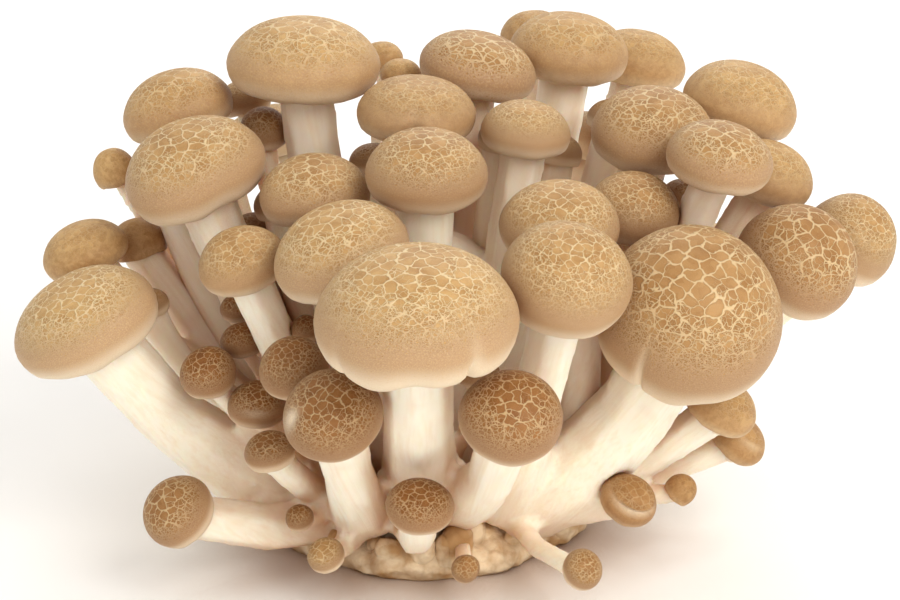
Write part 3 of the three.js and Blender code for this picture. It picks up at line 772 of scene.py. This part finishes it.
def placeCap(name, fit, seed):
    s = capSet
    growth = growthSet
    kind = 'small' if fit['half'] < s['smallBelow'] else 'large'
    cap = copyPiece(patternCaps[kind], name + '_skin')
    mesh = cap.data
    count = len(mesh.vertices)
    ring = readAttribute(mesh, 'capRing').astype(int)
    side = readAttribute(mesh, 'capSide')
    blade = readAttribute(mesh, 'capBlade')
    half, rise = fit['half'], fit['rise']
    line, gillShare, outerFrom = capProfile(half, rise, fit['socket'])
    angle = side / s[kind]['sides'] * 2 * math.pi
    radius = line[ring, 0]
    height = line[ring, 1]
    # arc length from the top, 1 at the lip, more than 1 below it
    steps = np.linalg.norm(np.diff(line[::-1], axis=0), axis=1)
    along = np.concatenate(([0], np.cumsum(steps)))[::-1]
    reach = (along / along[outerFrom + 1])[ring]
    # grooves between the gills
    deepest, deepestShare = s['gillDepth']
    height = height + min(deepest, deepestShare * rise) * gillShare[ring] * (1 - blade)
    # the pattern lies on the cap as on a flat disc: how far from the top, and which way
    spreadBy, spreadStep = growth['grainSpread']
    grain = growth['grain'] * half ** growth['grainPower']
    grain = grain * (1 + spreadBy * math.sin(seed * spreadStep)) * coarseNets.get(name, 1)
    spread = along[ring] / grain
    spread = spread * (1 + growth['tighten'] * spread ** 2)
    shiftEast, shiftNorth = [seed * step % again for step, again in growth['shifts']]
    flat = np.stack([spread * np.cos(angle) + shiftEast, spread * np.sin(angle) + shiftNorth,
                     np.zeros(count)], 1)
    # uneven growth: a slow swell all round, a margin that waves
    a2, b2, a3, b3 = fit['swell']
    swell = 1 + (a2 * np.cos(2 * angle) + b2 * np.sin(2 * angle)
                 + a3 * np.cos(3 * angle) + b3 * np.sin(3 * angle))
    waveFrom = growth['waveFrom']
    weight = np.clip((reach - waveFrom) / (1 - waveFrom), 0, 1) ** growth['wavePower']
    degrees = np.degrees(angle) % 360
    radius = radius * swell * (1 + waveRound(growth['waveOut'], seed, degrees) * weight)
    height = height + rise * waveRound(growth['waveUp'], seed, degrees) * weight
    turn = np.array(fit['turn'])
    torn = np.zeros(count)
    for heading, wide, down, deep, out, up, bare in capMarks.get(name, ()):
        way = np.array([math.cos(math.radians(heading)), math.sin(math.radians(heading)), 0]) @ turn
        turned = angle - math.atan2(way[1], way[0])
        off = np.degrees(np.abs((turned + math.pi) % (2 * math.pi) - math.pi)) / wide
        share = np.exp(-off ** 2 - ((reach - down) / deep) ** 2)
        radius = radius + out * share
        height = height + up * share
        torn = np.maximum(torn, bare * share)
    local = np.stack([radius * np.cos(angle), radius * np.sin(angle), height], 1) * mm
    writePoints(mesh, local @ turn.T + np.array(fit['centre']))
    writeAttribute(mesh, 'capFlat', 'FLOAT_VECTOR', flat)
    writeAttribute(mesh, 'capReach', 'FLOAT', reach)
    writeAttribute(mesh, 'capTone', 'FLOAT', np.full(count, toneOf(name)))
    writeAttribute(mesh, 'capTorn', 'FLOAT', torn)
    writeAttribute(mesh, 'capFaint', 'FLOAT', np.full(count, faintNets.get(name, 0)))
    for spare in ('capRing', 'capSide', 'capBlade'):
        mesh.attributes.remove(mesh.attributes[spare])
    mesh.materials.append(capSkin)
    pick(cap)
    bpy.ops.object.shade_smooth_by_angle(angle=math.radians(s['smoothAngle']))
    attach(cap, 'root')
    return cap


patternCaps = {kind: modelCap(kind) for kind in ('large', 'small')}
capNames = sorted(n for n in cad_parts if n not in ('stems', 'foot'))
for seed, name in enumerate(capNames):
    cap = placeCap(name, readCap(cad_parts[name]), seed + 1)
    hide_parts(name)
print("caps placed:", len(capNames))


# Small mushrooms that crowd the middle, mostly hidden: their stems close the gaps
crowdSet = {
    'rows': [
        # middle of the cap, its width, its stem's, and how far out the root is as a share
        ((11.6, 4.3, 54.3), 8.2, 6.8, 0.45), ((27.5, 15, 54), 8, 5.4, 0.45),
        ((-36, 2, 46.4), 7.6, 5.6, 0.45), ((-24.5, 1.5, 41.5), 6.6, 5.4, 0.45),
        ((-20.2, -2, 46.6), 7.6, 5.2, 0.45), ((-38.5, -8, 33.6), 6, 4.4, 0.45),
        ((2, 8, 51), 6.2, 4.6, 0.45), ((19, 12, 50), 7.4, 5.4, 0.45),
        ((37, 2, 46), 7.4, 5.2, 0.45), ((22, -18.5, 40.6), 7, 5.8, 0.8),
        ((-7.5, 9, 49.5), 7, 6, 0.45), ((-29.5, 15, 44), 6.6, 5.4, 0.45),
    ],
    'tall': 0.56,  # the rise as a share of the half width
    'lean': 0.008,  # how far a cap leans outwards for each mm from the middle
    'firstSeed': 71,
    'rootHeight': 12,
    # the stem's curve, as shares: its end's handle of its length, and its root's handle upwards
    # of the end's and outwards of the cap's distance from the middle
    'endHandle': 0.4,
    'rootHandle': (0.4, 0.25),
    'thicker': 0.25,  # how much thicker the stem is at its root than from half way up
    'sides': 20,
    'rings': 14,
    'smoothAngle': 50,  # degrees
}


def placeCrowd(s):
    line = [(1, i / (s['rings'] - 1)) for i in range(s['rings'])] + [(0, 1)]
    pattern = extrudeRings('patternStem', s['sides'], line)
    base = readPoints(pattern.data)
    t = base[:, 2:]
    weights = [(1 - t) ** 3, 3 * t * (1 - t) ** 2, 3 * t * t * (1 - t), t ** 3]
    rootUp, rootOut = s['rootHandle']
    for i, (at, width, stem, spread) in enumerate(s['rows']):
        centre = Vector(at)
        out = Vector((at[0], at[1], 0))
        axis = (Vector((0, 0, 1)) + s['lean'] * out).normalized()
        half = width / 2
        rise = half * s['tall']
        east = axis.orthogonal().normalized()
        north = axis.cross(east)
        fit = {'centre': centre * mm, 'turn': Matrix((east, north, axis)).transposed(),
               'half': half, 'rise': rise, 'socket': stem / 2 + capSet['wall'],
               'swell': np.zeros(4)}
        placeCap('crowd_%d' % (i + 1), fit, s['firstSeed'] + i)
        # the stem rises from the core and meets the cap square on
        root = spread * out + Vector((0, 0, s['rootHeight']))
        end = centre - axis * capSet['socketDepth'] * rise
        lift = s['endHandle'] * (end - root).length
        bend = [root, root + Vector((0, 0, rootUp * lift)) + rootOut * out, end - axis * lift, end]
        middle = sum(w * np.array(p)[None, :] for w, p in zip(weights, bend))
        girth = stem / 2 * (1 + s['thicker'] - s['thicker'] * np.clip(t * 2, 0, 1))
        side = np.array(east)[None, :] * base[:, :1] + np.array(north)[None, :] * base[:, 1:2]
        piece = copyPiece(pattern, 'crowd_stem_%d' % (i + 1))
        writePoints(piece.data, (middle + side * girth) * mm)
        piece.data.materials.append(stemFlesh)
        pick(piece)
        bpy.ops.object.shade_smooth_by_angle(angle=math.radians(s['smoothAngle']))
        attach(piece, 'root')
    bpy.data.objects.remove(pattern)


placeCrowd(crowdSet)
print("crowd placed:", len(crowdSet['rows']))
for pattern in patternCaps.values():
    bpy.data.objects.remove(pattern)


# Stems
stemSet = {
    'voxel': 0.74,
    'rounds': 12,
    'smooth': (0.5, -0.53),  # the second pass puts back the girth that the first one takes
    'swell': ((9, 0.5),),  # size and height in mm of the slow unevenness
}


def makeStems(s):
    stems = mergedCopy(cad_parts['stems'], 'stem_bundle')
    useModifier(stems, 'REMESH', mode='VOXEL', voxel_size=s['voxel'] * mm)
    for factor in s['smooth'] * s['rounds']:
        useModifier(stems, 'SMOOTH', factor=factor, iterations=1)
    addLumps(stems, 'stemSwell', s['swell'])
    stems.data.materials.append(stemFlesh)
    pick(stems)
    bpy.ops.object.shade_smooth()
    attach(stems, 'root')
    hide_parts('stems')
    return stems


stems = makeStems(stemSet)
print("stems made:", len(stems.data.polygons), "faces")


# Foot
footSet = {
    'voxel': 0.7,
    'smooth': (0.5, 3),  # how much a point moves each time, and how many times
    'lumps': ((6, 2.6), (2.4, 1.2)),  # size and height in mm
    'flat': 0.2,  # mm above the cut that the lumps leave alone
    'fading': 0.7,  # mm above that where they are not yet full
}


def makeFoot(s):
    foot = mergedCopy(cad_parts['foot'], 'foot_felt')
    useModifier(foot, 'REMESH', mode='VOXEL', voxel_size=s['voxel'] * mm)
    factor, times = s['smooth']
    useModifier(foot, 'SMOOTH', factor=factor, iterations=times)
    group = foot.vertex_groups.new(name='above the cut')
    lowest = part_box('foot')[0][2]
    for v in foot.data.vertices:
        above = (v.co.z - lowest - s['flat'] * mm) / (s['fading'] * mm)
        group.add([v.index], min(max(above, 0), 1), 'REPLACE')
    addLumps(foot, 'footLumps', s['lumps'], group.name)
    foot.data.materials.append(footFelt)
    pick(foot)
    bpy.ops.object.shade_smooth()
    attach(foot, 'root')
    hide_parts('foot')
    return foot


foot = makeFoot(footSet)
print("foot made:", len(foot.data.polygons), "faces")


# Stubs: pins that stopped growing, crowded round the foot's rim
stubSet = {
    'seed': 11,
    'count': 64,
    'sides': 12,
    'astray': 0.4,  # how far a stub is from its even place, as a share of the step
    'out': (22.5, 26.6),  # mm from the middle to the outer side
    'oval': 0.03,  # how much nearer the ring is at the left and right
    'base': 0.9,  # mm above the floor
    'width': (2.8, 5.2),
    'rise': (3.4, 7.4),
    'lean': (0.05, 0.5),  # mm outwards for each mm up
    'squash': (0.8, 1.1),  # one width as a share of the other
    'lowest': 0.05,  # mm above the floor at least
    'lumps': ((2.2, 0.7), (0.9, 0.3)),  # size and height in mm
    # radius and height of one stub, in its own half width and height
    'outline': [(0.86, -0.3), (1, 0.1), (0.93, 0.4), (0.98, 0.66), (0.86, 0.85), (0.5, 0.97),
                (0, 1)],
}


def makeStubs(s):
    chance = random.Random(s['seed'])
    pattern = extrudeRings('patternStub', s['sides'], s['outline'])
    base = readPoints(pattern.data)
    copies = []
    for i in range(s['count']):
        angle = 2 * math.pi * (i + chance.uniform(-s['astray'], s['astray'])) / s['count']
        half = chance.uniform(*s['width']) / 2
        rise = chance.uniform(*s['rise'])
        reach = chance.uniform(*s['out']) - half
        out = Vector((math.cos(angle), math.sin(angle), 0))
        place = out * reach * (1 - s['oval'] * math.cos(2 * angle)) + Vector((0, 0, s['base']))
        lean = (Vector((0, 0, 1)) + out * chance.uniform(*s['lean'])).normalized()
        turn = lean.to_track_quat('Z', 'Y').to_matrix()
        shape = base * np.array([half, half * chance.uniform(*s['squash']), rise])
        points = (shape @ np.array(turn).T + np.array(place)) * mm
        points[:, 2] = np.maximum(points[:, 2], s['lowest'] * mm)
        copy = copyPiece(pattern, 'stub')
        writePoints(copy.data, points)
        copies.append(copy)
    bpy.data.objects.remove(pattern)
    pick(copies[0])
    for copy in copies:
        copy.select_set(True)
    bpy.ops.object.join()
    stubs = bpy.context.object
    stubs.name = 'foot_stubs'
    useModifier(stubs, 'SUBSURF', levels=1, render_levels=1)
    addLumps(stubs, 'stubLumps', s['lumps'])
    stubs.data.materials.append(footFelt)
    pick(stubs)
    bpy.ops.object.shade_smooth()
    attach(stubs, 'root')


makeStubs(stubSet)
print("stubs made:", stubSet['count'])
